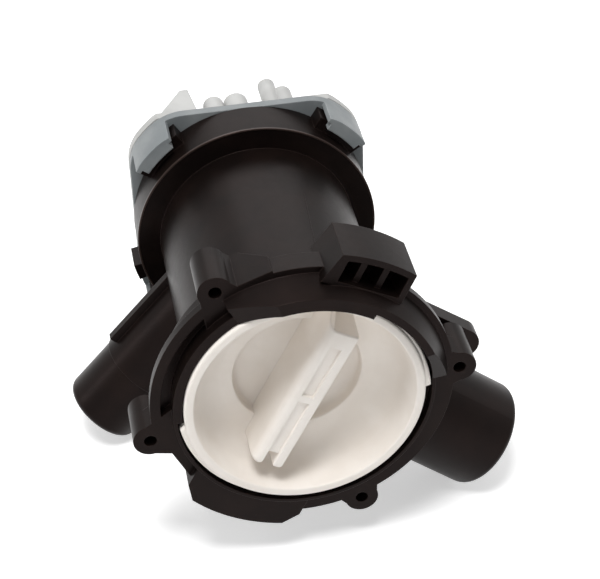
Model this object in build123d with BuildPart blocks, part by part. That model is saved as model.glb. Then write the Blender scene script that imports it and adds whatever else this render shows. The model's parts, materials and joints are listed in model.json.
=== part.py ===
from build123d import *
import os
from math import cos, radians, sin, tan

# A washing machine drain pump: a black moulded housing with a screw-in
# filter cap at the front, two hose pipes, and a synchronous motor clipped
# on at the rear. Sizes are in millimetres, angles in degrees. A place along
# the pump axis is a distance behind the datum at the cap's rim, and an angle
# round the axis is counter-clockwise from the right, seen from the front.

# Clearances
RUNNING_FIT = 0.05
SEAT_GAP = 0.1
CLEAR = 0.3
PAST = 5.0

# Whole turns, and the way that is up
UP = 90.0
HALF_TURN = 180.0

# Front flange
FACE_Y = 2.6
FLANGE_RADIUS = 42.4
FLANGE_RIM = 2.7
FLANGE_EDGE = 1.9
FLANGE_THICKNESS = 5.0
FLAT_ANGLE = 206.0
FLAT_REACH = 40.1
COLLAR_FRONT = -0.5
COLLAR_WALL = 1.0
GROOVE_RADIUS = 39.5
GROOVE_DEPTH = 2.6
GROOVE_MIDDLE = 100.0
GROOVE_HALF_ANGLE = 95.0
BROW_ANGLE = 61.5
BROW_FRONT = -5.6
BROW_WALL = 2.2
BROW_FLARE = 2.9
BROW_HALF_TOP = 39.5
BROW_HALF_FOOT = 58.5

# Screw bosses, either side of the brow
SCREW_CIRCLE = 44.0
SCREW_SPREADS = (59.0, -59.0, 130.5, -130.5)
BOSS_RADIUS = 4.8
BOSS_DEPTH = 14.4
SCREW_HOLE_RADIUS = 1.8
SCREW_HOLE_DEPTH = 12.0
WEB_RUN = 9.0
WEB_WIDTH = 17.2
WEB_DEPTH = 7.9

# Tabs and lugs
TOP_TAB_ANGLE = 63.5
TOP_TAB_ROOT = 38.0
TOP_TAB_REACH = 48.8
TOP_TAB_WIDTH = 21.6
TOP_TAB_FLARE = 2.4
TOP_TAB_FRONT = -1.3
TOP_TAB_DEPTH = 15.7
TOP_TAB_WALL = 1.8
TOP_TAB_CELLS = 3
TOP_TAB_CELL_STEP = 2.2
TOP_TAB_POCKET = 9.0
TOP_WALL_DEPTH = 7.0
TOP_WALL_END = 110.0
TOP_WALL_RAMP = 8.0
LOW_TAB_FRONT = 0.5
LOW_TAB_DEPTH = 10.0
LOW_TAB_ROOT = 30.0
LOW_TAB_REACH = 45.5
LOW_TAB_WIDTH = 35.2
LOW_TAB_SHOULDER = 38.6
LOW_TAB_CHAMFER = 5.0
SIDE_LUG_FRONT = 18.0
SIDE_LUG_THICKNESS = 5.5
SIDE_LUG_ROOT = 34.0
SIDE_LUG_TOP = 14.0
SIDE_LUG_X = 48.8
SIDE_LUG_Z = -2.6
SIDE_LUG_RADIUS = 4.8
REAR_LUG_FRONT = 84.3
REAR_LUG_LENGTH = 9.7
REAR_LUG_RADIUS = 39.5
REAR_LUG_ANGLE = 195.0
REAR_LUG_HALF_ANGLE = 4.0

# Mouth, filter body and pump chamber
WALL = 2.5
SKIRT_GAP = 0.8
SLOT_WALL = 1.7
MOUTH_END = 16.0
CONE_END = 26.0
BODY_RADIUS = 30.0
ENTRY_MARGIN = 1.5
CLOSE_MIDDLE = 148.0
CLOSE_HALF_ANGLE = 35.0
PARTITION_Y = 51.0
EYE_RADIUS = 9.5

# Rear ring
RING_FRONT = 83.3
RING_END = 96.5
RING_WALL = 3.25
EAR_LENGTH = 6.6
EAR_GAP = 0.8
EAR_HALF_ANGLE = 12.0
CORNERS = (45.0, 135.0, 225.0, 315.0)

# Pipes
INLET_ANGLE = -38.3
INLET_Y = 26.0
INLET_OFFSET = 0.8
INLET_REACH = 72.5
INLET_RADIUS = 16.2
INLET_BORE = 13.8
OUTLET_ANGLE = 227.0
OUTLET_Y = 68.0
OUTLET_OFFSET = -6.5
OUTLET_REACH = 72.6
OUTLET_RADIUS = 12.2
OUTLET_BORE = 10.2
INLET_SEAT = 26.0
OUTLET_SEAT = 18.0
PIPE_SHOULDER = 0.4
PIPE_ROOT = 15.0
PIPE_CORNER = 2.0
FIN_REACH = 49.0
FIN_HEIGHT = 2.8
FIN_THICKNESS = 2.6

# Filter cap
RIM_FRONT = -1.5
RIM_BORE = 31.0
RIM_CHAMFER = 0.7
SKIRT_RADIUS = 33.6
BOWL_RADIUS = 28.4
BOWL_FILLET = 8.0
FLOOR_Y = 12.5
CAP_WALL = 2.0
POCKET_RADIUS = 18.2
POCKET_DEPTH = 3.8
LUG_HEIGHT = 1.6
LUG_FRONT = 4.5
LUG_DEPTH = 2.6
LUG_MIDDLES = (13.0, 193.0)
LUG_HALF_ANGLE = 11.0
CAP_TURN = 55.0
RAMP_MIDDLES = (27.0, 214.0)
RAMP_HALF_ANGLE = 29.0
RAMP_FRONT = -0.7
GRIP_ANGLE = 61.3
GRIP_FRONT = 0.0
GRIP_LENGTH = 49.6
GRIP_WIDTH = 10.0
GRIP_WALL = 3.2
GRIP_SLOT_DEPTH = 2.4
GRIP_RIB = 2.2
GRIP_RIB_DROP = 0.4
GRIP_HEAD = 18.2
GRIP_FOOT = 20.4
CAP_SEAL_Y = 9.9
SEAL_SECTION = 1.2

# Filter basket
BASKET_GAP = 2.5
BASKET_WALL = 2.0
BASKET_STANDOFF = 3.0
BASKET_RING = 3.0
BASKET_BARS = 12
BASKET_BAR_HALF_ANGLE = 3.0
BASKET_EYE = 8.0

# Motor plate, its spigot, clips and well
PLATE_GAP = 0.5
PLATE_THICKNESS = 2.8
PLATE_SIDE = 72.6
PLATE_CORNER_RADIUS = 43.4
PLATE_CORNER_FILLET = 15.0
SPIGOT_RADIUS = 33.2
SPIGOT_WALL = 2.8
SPIGOT_WEB = 2.6
CLIP_HALF_ANGLE = 10.0
CLIP_WALL = 2.0
LIP_HALF_ANGLE = 8.3
LIP_HOOK = 1.4
LIP_THICKNESS = 2.6
PLATE_SEAL_Y = 92.0
MAGNET_GAP = 1.0
WELL_WALL = 1.3

# Motor base
BASE_STEP = 0.7
BASE_THICKNESS = 3.0
BASE_INSET = 1.0
BASE_TOP_INSET = 2.2
POSTS = ((-8.2, 3.2, 6.4), (-1.2, 3.8, 6.9), (9.5, 2.7, 13.4), (13.5, 3.0, 7.9))
POST_TOP = 34.0
HORN_BASE = (-25.0, -14.0)
HORN_TIP = (-17.7, -15.3)
HORN_LENGTH = 12.4
HORN_DEPTH = 7.0
SEAT_RING_WALL = 1.6

# Stator
CORE_STANDOFF = 6.4
CORE_LENGTH = 20.0
CORE_WIDTH = 40.0
CORE_TOP = 15.0
CORE_DROP = 56.4
LEG_WIDTH = 12.0
YOKE_HEIGHT = 12.0
CORE_BORE_GAP = 0.5
BOBBIN_TOP = -16.9
BOBBIN_WALL = 1.0
BOBBIN_FLANGE = 1.4
WINDING_DEPTH = 4.0
COVER_WALL = 0.7
COIL_CORNER = 2.0
RIVET_RADIUS = 1.6
RIVET_HEAD_RADIUS = 2.4
RIVET_HEAD = 0.9
RIVET_TOP_INSET = 3.5
RIVET_LOW_INSET = 5.0
BLOCK_DEPTH = 3.2
BLOCK_WIDTH = 24.0
BLOCK_TOP = -25.0
BLOCK_HEIGHT = 11.0
BLADE_WIDTH = 6.3
BLADE_THICKNESS = 0.8
BLADE_LENGTH = 8.0
BLADE_SPREAD = 14.0
BLADE_CHAMFER = 1.5

# Bearings
BEARING_RADIUS = 5.0
BEARING_LENGTH = 6.0
HOLDER_FLANGE = 2.0
HOLDER_FLANGE_RADIUS = 17.0
HOLDER_WEB = 1.6
HOLDER_HOLE = 3.2
SEAL_RADIUS = 5.4
SEAL_LENGTH = 2.4
MOUNT_WALL = 1.6

# Rotor
SHAFT_RADIUS = 2.0
SHAFT_END = 1.8
MAGNET_RADIUS = 12.9
MAGNET_WALL = 4.0
MAGNET_LENGTH = 22.0
CARRIER_NOSE = 8.0
CARRIER_NOSE_RADIUS = 5.0
DOG_HUB = 3.6
DOG_RADIUS = 7.0
DOG_MIDDLE = 90.0
DOG_ARC = 90.0
DRIVE_ARC = 90.0
DRIVE_MARGIN = 3.0
WASHER_RADIUS = 4.6
WASHER_THICKNESS = 0.8
END_CLIP_RADIUS = 3.6
END_CLIP_THICKNESS = 0.7

# Impeller
NOSE_LENGTH = 10.0
IMPELLER_RADIUS = 21.0
VANE_COUNT = 6
VANE_LENGTH = 12.0
VANE_THICKNESS = 2.0
NOSE_RADIUS = 5.5
DISC_THICKNESS = 1.8
DRUM_WALL = 1.8
DRUM_LENGTH = 11.0
DRUM_GAP = 3.0
DRUM_COVER = 1.2

# Places that follow from the sizes
FLANGE_END = FACE_Y + FLANGE_THICKNESS
GROOVE_FLOOR = FACE_Y + GROOVE_DEPTH
LUG_RADIUS = SKIRT_RADIUS + LUG_HEIGHT
STEP_RADIUS = LUG_RADIUS + CLEAR
COLLAR_BORE = SKIRT_RADIUS + CLEAR
COLLAR_RADIUS = STEP_RADIUS + COLLAR_WALL
BROW_RADIUS = STEP_RADIUS + BROW_WALL
BROW_FOOT_RADIUS = BROW_RADIUS + BROW_FLARE
SLOT_FRONT = LUG_FRONT - CLEAR
SLOT_END = LUG_FRONT + LUG_DEPTH + CLEAR
SLOT_RADIUS = STEP_RADIUS + CLEAR
MOUTH_BORE = SKIRT_RADIUS + SKIRT_GAP
MOUTH_RADIUS = SLOT_RADIUS + SLOT_WALL
BODY_BORE = BODY_RADIUS - WALL
BASKET_RADIUS = BODY_BORE - BASKET_GAP
BASKET_END = PARTITION_Y - BASKET_STANDOFF
SPIGOT_BORE = SPIGOT_RADIUS + CLEAR
RING_RADIUS = SPIGOT_BORE + RING_WALL
CLIP_INNER = PLATE_CORNER_RADIUS - CLIP_WALL
EAR_RADIUS = CLIP_INNER - EAR_GAP
LIP_RADIUS = EAR_RADIUS - LIP_HOOK
WELL_BORE = MAGNET_RADIUS + MAGNET_GAP
DRUM_BORE = DOG_RADIUS + CLEAR
DRUM_RADIUS = DRUM_BORE + DRUM_WALL
EAR_FRONT = RING_END - EAR_LENGTH
PLATE_Y = RING_END + PLATE_GAP
CLIP_FRONT = EAR_FRONT - CLEAR - LIP_THICKNESS
SPIGOT_SEAT = RING_FRONT + WALL
SPIGOT_FRONT = SPIGOT_SEAT + CLEAR
HOLDER_FRONT = SPIGOT_FRONT - SEAT_GAP - HOLDER_FLANGE
DRUM_FLOOR_Y = HOLDER_FRONT - DRUM_GAP - DRUM_LENGTH
IMPELLER_FRONT = DRUM_FLOOR_Y - NOSE_LENGTH
SHAFT_FRONT = IMPELLER_FRONT - SHAFT_END
PLATE_END = PLATE_Y + PLATE_THICKNESS
BASE_FRONT = PLATE_END + SEAT_GAP
BASE_END = BASE_FRONT + BASE_STEP + BASE_THICKNESS
CORE_FRONT = BASE_END + CORE_STANDOFF
CORE_END = CORE_FRONT + CORE_LENGTH
CORE_MIDDLE = CORE_FRONT + CORE_LENGTH / 2
COIL_REACH = SEAT_GAP + BOBBIN_WALL + SEAT_GAP + WINDING_DEPTH + SEAT_GAP + COVER_WALL
BLOCK_FRONT = CORE_END + COIL_REACH + SEAT_GAP
BLADE_ROOT = BLOCK_FRONT + BLOCK_DEPTH / 2
REAR_Y = BLOCK_FRONT + BLOCK_DEPTH + BLADE_LENGTH
WELL_RADIUS = WELL_BORE + WELL_WALL
MAGNET_FRONT = CORE_MIDDLE - MAGNET_LENGTH / 2
MAGNET_END = MAGNET_FRONT + MAGNET_LENGTH
WELL_FLOOR = MAGNET_END + CLEAR + RUNNING_FIT
MOUNT_RADIUS = BEARING_RADIUS + RUNNING_FIT + MOUNT_WALL
CUP_BORE = MOUNT_RADIUS + RUNNING_FIT
CUP_FLOOR = WELL_FLOOR + BEARING_LENGTH + CLEAR
INLET = (INLET_ANGLE, INLET_Y, INLET_OFFSET, INLET_REACH, INLET_RADIUS, INLET_BORE, INLET_SEAT)
OUTLET = (OUTLET_ANGLE, OUTLET_Y, OUTLET_OFFSET, OUTLET_REACH, OUTLET_RADIUS, OUTLET_BORE,
          OUTLET_SEAT)


def pipe_extent(pipe, x, z):
    """Furthest point of a pipe's rounded end from the axis, along a unit way in X and Z."""
    angle, y, offset, length, radius, bore, seat = pipe
    along = cos(radians(angle)) * x + sin(radians(angle)) * z
    across = cos(radians(angle)) * z - sin(radians(angle)) * x
    middle = (length - PIPE_CORNER) * along + offset * across
    return middle + (radius - PIPE_CORNER) * abs(across) + PIPE_CORNER


# The pump lies on its two pipe ends and the stator's foot, centred over the origin
AXIS_X = (pipe_extent(OUTLET, -1, 0) - pipe_extent(INLET, 1, 0)) / 2
AXIS_Z = max(pipe_extent(INLET, 0, -1), pipe_extent(OUTLET, 0, -1), CORE_DROP)
DATUM_Y = -(BROW_FRONT + REAR_Y) / 2
CENTRE = (AXIS_X, DATUM_Y, AXIS_Z)
SPIN = Axis(CENTRE, (0, 1, 0))


def station(y):
    """Plane across the axis, X to the right and Y up, seen from the front."""
    return Plane(origin=CENTRE, x_dir=(1, 0, 0), z_dir=(0, -1, 0)).offset(-y)


def level(z):
    """Level plane at a height over the axis, X to the right and Y to the rear."""
    return Plane(origin=(AXIS_X, DATUM_Y, AXIS_Z + z), x_dir=(1, 0, 0), z_dir=(0, 0, 1))


def half_plane(angle):
    """Plane through the axis, X along it to the rear and Y outwards at an angle."""
    turn_to = radians(angle)
    return Plane(origin=CENTRE, x_dir=(0, 1, 0), z_dir=(sin(turn_to), 0, -cos(turn_to)))


def outward_plane(angle, y=0.0, offset=0.0):
    """Plane that faces outwards at an angle, X to the rear and Y counter-clockwise."""
    turn_to = radians(angle)
    origin = (AXIS_X - offset * sin(turn_to), DATUM_Y + y, AXIS_Z + offset * cos(turn_to))
    return Plane(origin=origin, x_dir=(0, 1, 0), z_dir=(cos(turn_to), 0, sin(turn_to)))


def turn(profile, middle=UP, half=HALF_TURN, mode=Mode.ADD):
    """Turn (place, radius) points about the axis, half an angle either side of a middle."""
    with BuildSketch(half_plane(middle + half)) as section:
        with BuildLine():
            Polyline(*profile, close=True)
        make_face()
    revolve(section.sketch, axis=SPIN, revolution_arc=2 * half, mode=mode)


def band(front, rear, inner, outer, middle=UP, half=HALF_TURN, mode=Mode.ADD):
    """A ring between two places and two radii, or a sector of one."""
    turn(((front, inner), (front, outer), (rear, outer), (rear, inner)), middle, half, mode)


def seal_ring(y, radius):
    """A round rubber ring about the axis."""
    with BuildSketch(half_plane(UP)) as section:
        with Locations((y, radius)):
            Circle(SEAL_SECTION)
    revolve(section.sketch, axis=SPIN)


def plate_outline(inset=0.0):
    """A square with its corners struck from the axis and blended into the sides."""
    Rectangle(PLATE_SIDE - 2 * inset, PLATE_SIDE - 2 * inset)
    Circle(PLATE_CORNER_RADIUS - inset, mode=Mode.INTERSECT)
    fillet(vertices(), radius=PLATE_CORNER_FILLET - inset)


def corner_walls(front, rear, inner, half):
    """A wall behind each corner of the plate's outline, from an inner radius outwards."""
    reach = PLATE_SIDE
    spread = reach * tan(radians(half))
    with BuildSketch() as wedges:
        with PolarLocations(0, len(CORNERS), start_angle=CORNERS[0]):
            Polygon((0, 0), (reach, -spread), (reach, spread))
    with BuildSketch(station(front)) as walls:
        plate_outline()
        Circle(inner, mode=Mode.SUBTRACT)
        add(wedges.sketch, mode=Mode.INTERSECT)
    extrude(walls.sketch, amount=front - rear)


def ring_edge(y, radius):
    """The circular edge of the part being built at a place and a radius."""
    circles = edges().filter_by(GeomType.CIRCLE)
    matching = circles.filter_by(lambda edge: abs(edge.radius - radius) < RUNNING_FIT)
    return matching.sort_by(lambda edge: abs(edge.arc_center.Y - DATUM_Y - y))[0]


# Housing, with the pump's chamber behind the filter's space
with BuildPart() as housing:
    turn(((FACE_Y, 0), (FACE_Y, FLANGE_RADIUS), (FACE_Y + FLANGE_RIM, FLANGE_RADIUS),
          (FLANGE_END, FLANGE_RADIUS - FLANGE_EDGE), (FLANGE_END, MOUTH_RADIUS),
          (MOUTH_END, MOUTH_RADIUS), (CONE_END, BODY_RADIUS), (RING_FRONT, BODY_RADIUS),
          (RING_FRONT, RING_RADIUS), (RING_END, RING_RADIUS), (RING_END, 0)))
    with BuildSketch(station(FACE_Y)):
        with PolarLocations(FLAT_REACH + PAST / 2, 1, start_angle=FLAT_ANGLE):
            Rectangle(PAST, 2 * FLANGE_RADIUS)
    extrude(amount=-FLANGE_THICKNESS, mode=Mode.SUBTRACT)
    for angle, y, offset, length, radius, bore, seat in (INLET, OUTLET):
        with BuildSketch(outward_plane(angle, y, offset)):
            Circle(radius + PIPE_SHOULDER)
        extrude(amount=length - PIPE_CORNER - seat)
        with BuildSketch(outward_plane(angle, y, offset)):
            Circle(radius)
        extrude(amount=length)
        pipe_end = faces().sort_by(Axis(CENTRE, outward_plane(angle).z_dir))[-1]
        fillet(pipe_end.edges(), radius=PIPE_CORNER)
    with BuildSketch(outward_plane(OUTLET_ANGLE, OUTLET_Y, OUTLET_OFFSET).offset(PIPE_ROOT)):
        with Locations((0, -OUTLET_RADIUS)):
            Rectangle(FIN_THICKNESS, 2 * FIN_HEIGHT)
    extrude(amount=FIN_REACH - PIPE_ROOT)

    # Groove over the upper part, then the collar round the cap and the raised brow
    band(FACE_Y, GROOVE_FLOOR, COLLAR_RADIUS, GROOVE_RADIUS, GROOVE_MIDDLE, GROOVE_HALF_ANGLE,
         mode=Mode.SUBTRACT)
    band(COLLAR_FRONT, FACE_Y, 0, COLLAR_RADIUS)
    turn(((BROW_FRONT, 0), (BROW_FRONT, BROW_RADIUS), (FACE_Y, BROW_FOOT_RADIUS),
          (GROOVE_FLOOR, BROW_FOOT_RADIUS), (GROOVE_FLOOR, 0)), BROW_ANGLE, BROW_HALF_FOOT)
    for side in (1, -1):
        flank = outward_plane(BROW_ANGLE + side * (BROW_HALF_TOP + BROW_HALF_FOOT) / 2)
        run = side * BROW_RADIUS * radians(BROW_HALF_FOOT - BROW_HALF_TOP) / 2
        with BuildSketch(flank):
            Polygon((BROW_FRONT, -run), (COLLAR_FRONT, run), (COLLAR_FRONT, 2 * run),
                    (BROW_FRONT - PAST, 2 * run), (BROW_FRONT - PAST, -run))
        extrude(amount=FLANGE_RADIUS, mode=Mode.SUBTRACT)

    # Screw bosses and tabs
    for spread, web_depth in zip(SCREW_SPREADS, (BOSS_DEPTH, WEB_DEPTH, WEB_DEPTH, WEB_DEPTH)):
        with BuildSketch(station(FACE_Y)):
            with PolarLocations(SCREW_CIRCLE, 1, start_angle=BROW_ANGLE + spread):
                Polygon((0, BOSS_RADIUS), (-WEB_RUN, WEB_WIDTH / 2),
                        (-WEB_RUN, -WEB_WIDTH / 2), (0, -BOSS_RADIUS))
        extrude(amount=-web_depth)
        with BuildSketch(station(FACE_Y)):
            with PolarLocations(SCREW_CIRCLE, 1, start_angle=BROW_ANGLE + spread):
                Circle(BOSS_RADIUS)
        extrude(amount=-BOSS_DEPTH)
    with BuildSketch(station(TOP_TAB_FRONT)):
        with PolarLocations(0, 1, start_angle=TOP_TAB_ANGLE):
            Polygon((TOP_TAB_ROOT, -TOP_TAB_WIDTH / 2), (TOP_TAB_REACH, -TOP_TAB_WIDTH / 2),
                    (TOP_TAB_REACH, TOP_TAB_WIDTH / 2),
                    (TOP_TAB_ROOT, TOP_TAB_WIDTH / 2 + TOP_TAB_FLARE))
        Circle(TOP_TAB_REACH, mode=Mode.INTERSECT)
    extrude(amount=-TOP_TAB_DEPTH)

    # Outer wall from the top tab to the first screw boss, deeper beside the boss
    first_boss = BROW_ANGLE + SCREW_SPREADS[0]
    band(FACE_Y, FACE_Y + TOP_WALL_DEPTH, GROOVE_RADIUS, FLANGE_RADIUS,
         (TOP_TAB_ANGLE + first_boss) / 2, (first_boss - TOP_TAB_ANGLE) / 2)
    band(FACE_Y, FACE_Y + BOSS_DEPTH, GROOVE_RADIUS, FLANGE_RADIUS,
         (TOP_WALL_END + first_boss) / 2, (first_boss - TOP_WALL_END) / 2)
    with BuildSketch(outward_plane(TOP_WALL_END).offset(GROOVE_RADIUS)):
        Polygon((FACE_Y, 0), (FACE_Y + BOSS_DEPTH, 0),
                (FACE_Y + TOP_WALL_DEPTH, -TOP_WALL_RAMP), (FACE_Y, -TOP_WALL_RAMP))
    extrude(amount=FLANGE_RADIUS - GROOVE_RADIUS)
    with BuildSketch(station(LOW_TAB_FRONT)):
        with PolarLocations(0, 1, start_angle=BROW_ANGLE + HALF_TURN):
            Polygon((LOW_TAB_ROOT, -LOW_TAB_WIDTH / 2), (LOW_TAB_SHOULDER, -LOW_TAB_WIDTH / 2),
                    (LOW_TAB_REACH, LOW_TAB_CHAMFER - LOW_TAB_WIDTH / 2),
                    (LOW_TAB_REACH, LOW_TAB_WIDTH / 2 - LOW_TAB_CHAMFER),
                    (LOW_TAB_SHOULDER, LOW_TAB_WIDTH / 2), (LOW_TAB_ROOT, LOW_TAB_WIDTH / 2))
        Circle(LOW_TAB_REACH, mode=Mode.INTERSECT)
    extrude(amount=-LOW_TAB_DEPTH)
    with BuildSketch(station(SIDE_LUG_FRONT)):
        with Locations((SIDE_LUG_X, SIDE_LUG_Z)):
            Circle(SIDE_LUG_RADIUS)
        Polygon((SIDE_LUG_ROOT, SIDE_LUG_TOP), (MOUTH_BORE - WALL, SIDE_LUG_TOP),
                (MOUTH_BORE - WALL, SIDE_LUG_Z - SIDE_LUG_RADIUS),
                (SIDE_LUG_ROOT, SIDE_LUG_Z - SIDE_LUG_RADIUS))
        make_hull()
    extrude(amount=-SIDE_LUG_THICKNESS)

    # Ears for the motor's clips, and a small lug on the rear ring
    for corner in CORNERS:
        band(EAR_FRONT, RING_END, BODY_RADIUS, EAR_RADIUS, corner, EAR_HALF_ANGLE)
    band(REAR_LUG_FRONT, REAR_LUG_FRONT + REAR_LUG_LENGTH, BODY_RADIUS, REAR_LUG_RADIUS,
         REAR_LUG_ANGLE, REAR_LUG_HALF_ANGLE)

    # Bores, the bayonet slot and its entries, screw holes and pockets
    turn(((BROW_FRONT - PAST, 0), (BROW_FRONT - PAST, COLLAR_BORE), (SLOT_FRONT, COLLAR_BORE),
          (SLOT_FRONT, SLOT_RADIUS), (SLOT_END, SLOT_RADIUS), (SLOT_END, MOUTH_BORE),
          (MOUTH_END, MOUTH_BORE),
          (CONE_END, BODY_BORE), (PARTITION_Y, BODY_BORE), (PARTITION_Y, EYE_RADIUS),
          (PARTITION_Y + WALL, EYE_RADIUS), (PARTITION_Y + WALL, BODY_BORE),
          (SPIGOT_SEAT, BODY_BORE), (SPIGOT_SEAT, SPIGOT_BORE),
          (RING_END + PAST, SPIGOT_BORE), (RING_END + PAST, 0)), mode=Mode.SUBTRACT)
    for angle, y, offset, length, radius, bore, seat in (INLET, OUTLET):
        with BuildSketch(outward_plane(angle, y, offset).offset(PIPE_ROOT)):
            Circle(bore)
        extrude(amount=length, mode=Mode.SUBTRACT)
    band(RAMP_FRONT - CLEAR, FACE_Y, 0, STEP_RADIUS, CLOSE_MIDDLE - HALF_TURN,
         HALF_TURN - CLOSE_HALF_ANGLE, mode=Mode.SUBTRACT)
    ramp_end = RAMP_MIDDLES[0] + RAMP_HALF_ANGLE + ENTRY_MARGIN
    step_start = CLOSE_MIDDLE + CLOSE_HALF_ANGLE - 2 * HALF_TURN
    band(BROW_FRONT - PAST, RAMP_FRONT, 0, STEP_RADIUS, (ramp_end + step_start) / 2,
         (ramp_end - step_start) / 2, mode=Mode.SUBTRACT)
    for middle in LUG_MIDDLES:
        band(FACE_Y, LUG_FRONT + LUG_DEPTH / 2, 0, STEP_RADIUS, middle + CAP_TURN,
             LUG_HALF_ANGLE + ENTRY_MARGIN, mode=Mode.SUBTRACT)
    with BuildSketch(station(FACE_Y)):
        for spread in SCREW_SPREADS:
            with PolarLocations(SCREW_CIRCLE, 1, start_angle=BROW_ANGLE + spread):
                Circle(SCREW_HOLE_RADIUS)
    extrude(amount=-SCREW_HOLE_DEPTH, mode=Mode.SUBTRACT)
    pocket_run = TOP_TAB_REACH - GROOVE_RADIUS
    pocket_middle = (TOP_TAB_REACH + GROOVE_RADIUS) / 2
    for cells, depth in ((1, TOP_TAB_CELL_STEP), (TOP_TAB_CELLS, TOP_TAB_POCKET)):
        pitch = (TOP_TAB_WIDTH - TOP_TAB_WALL) / cells
        with BuildSketch(station(TOP_TAB_FRONT)):
            with PolarLocations(0, 1, start_angle=TOP_TAB_ANGLE):
                with Locations((pocket_middle, 0)):
                    with GridLocations(pitch, pitch, 1, cells):
                        Rectangle(pocket_run, pitch - TOP_TAB_WALL)
            Circle(TOP_TAB_REACH - TOP_TAB_WALL, mode=Mode.INTERSECT)
        extrude(amount=-depth, mode=Mode.SUBTRACT)

# The housing as three pieces that meet flat, behind the screw bosses and at the chamber's front wall
BOSS_END = FACE_Y + BOSS_DEPTH
with BuildPart() as housing_front:
    add(housing.part)
    split(bisect_by=station(BOSS_END), keep=Keep.TOP)
with BuildPart() as filter_chamber:
    add(housing.part)
    split(bisect_by=station(BOSS_END), keep=Keep.BOTTOM)
    split(bisect_by=station(PARTITION_Y), keep=Keep.TOP)
with BuildPart() as pump_chamber:
    add(housing.part)
    split(bisect_by=station(PARTITION_Y), keep=Keep.BOTTOM)

# Filter cap
CAP_BACK = FLOOR_Y + CAP_WALL
POCKET_FLOOR = FLOOR_Y + POCKET_DEPTH
POCKET_OUTER = POCKET_RADIUS + CAP_WALL
GROOVE_HALF = SEAL_SECTION + SEAT_GAP
CAP_SEAL_RADIUS = MOUTH_BORE - RUNNING_FIT - SEAL_SECTION
with BuildPart() as filter_cap:
    turn(((RIM_FRONT, RIM_BORE), (RIM_FRONT, SKIRT_RADIUS - RIM_CHAMFER),
          (RIM_FRONT + RIM_CHAMFER, SKIRT_RADIUS), (CAP_BACK, SKIRT_RADIUS),
          (CAP_BACK, POCKET_OUTER), (POCKET_FLOOR + CAP_WALL, POCKET_OUTER),
          (POCKET_FLOOR + CAP_WALL, 0), (POCKET_FLOOR, 0), (POCKET_FLOOR, POCKET_RADIUS),
          (FLOOR_Y, POCKET_RADIUS), (FLOOR_Y, BOWL_RADIUS)))
    fillet(ring_edge(FLOOR_Y, BOWL_RADIUS), radius=BOWL_FILLET)
    band(CAP_SEAL_Y - GROOVE_HALF, CAP_SEAL_Y + GROOVE_HALF,
         CAP_SEAL_RADIUS - SEAL_SECTION - SEAT_GAP, SKIRT_RADIUS + PAST, mode=Mode.SUBTRACT)
    for middle in LUG_MIDDLES:
        band(LUG_FRONT, LUG_FRONT + LUG_DEPTH, SKIRT_RADIUS - WALL, LUG_RADIUS,
             middle, LUG_HALF_ANGLE)
    for middle in RAMP_MIDDLES:
        band(RAMP_FRONT, FACE_Y - CLEAR, SKIRT_RADIUS - WALL, LUG_RADIUS,
             middle, RAMP_HALF_ANGLE)
    wall_run = GRIP_LENGTH / 2 + RIM_BORE
    wall_middle = (RIM_BORE - GRIP_LENGTH / 2) / 2
    slot_floor = GRIP_FRONT + GRIP_SLOT_DEPTH
    for depth, limit in ((FLOOR_Y, RIM_BORE), (POCKET_FLOOR, POCKET_RADIUS)):
        with BuildSketch(station(GRIP_FRONT)):
            with PolarLocations(0, 1, start_angle=GRIP_ANGLE):
                with Locations((wall_middle, 0)):
                    with GridLocations(wall_run, GRIP_WIDTH - GRIP_WALL, 1, 2):
                        Rectangle(wall_run, GRIP_WALL)
                with Locations(((GRIP_HEAD + RIM_BORE) / 2, 0)):
                    Rectangle(RIM_BORE - GRIP_HEAD, GRIP_WIDTH - GRIP_WALL)
            Circle(limit, mode=Mode.INTERSECT)
        extrude(amount=GRIP_FRONT - depth - CAP_WALL / 2)
        with BuildSketch(station(slot_floor)):
            with PolarLocations(0, 1, start_angle=GRIP_ANGLE):
                with Locations(((GRIP_HEAD - GRIP_FOOT) / 2, 0)):
                    Rectangle(GRIP_HEAD + GRIP_FOOT, GRIP_WIDTH - GRIP_WALL)
            Circle(limit, mode=Mode.INTERSECT)
        extrude(amount=slot_floor - depth - CAP_WALL / 2)
    with BuildSketch(station(GRIP_FRONT + GRIP_RIB_DROP)):
        with PolarLocations(0, 1, start_angle=GRIP_ANGLE):
            Rectangle(GRIP_RIB, GRIP_WIDTH - GRIP_WALL)
    extrude(amount=-GRIP_SLOT_DEPTH)

with BuildPart() as cap_seal:
    seal_ring(CAP_SEAL_Y, CAP_SEAL_RADIUS)

# Filter basket, pushed over the back of the cap's pocket
BASKET_FRONT = CAP_BACK + SEAT_GAP
BASKET_RING_END = BASKET_FRONT + BASKET_RING
with BuildPart() as filter_basket:
    band(BASKET_FRONT, BASKET_RING_END, POCKET_OUTER + SEAT_GAP, BASKET_RADIUS)
    band(BASKET_END - BASKET_RING, BASKET_END, BASKET_EYE, BASKET_RADIUS)
    for bar in range(BASKET_BARS):
        band(BASKET_RING_END, BASKET_END - BASKET_RING, BASKET_RADIUS - BASKET_WALL,
             BASKET_RADIUS, bar * 2 * HALF_TURN / BASKET_BARS, BASKET_BAR_HALF_ANGLE)

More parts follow.
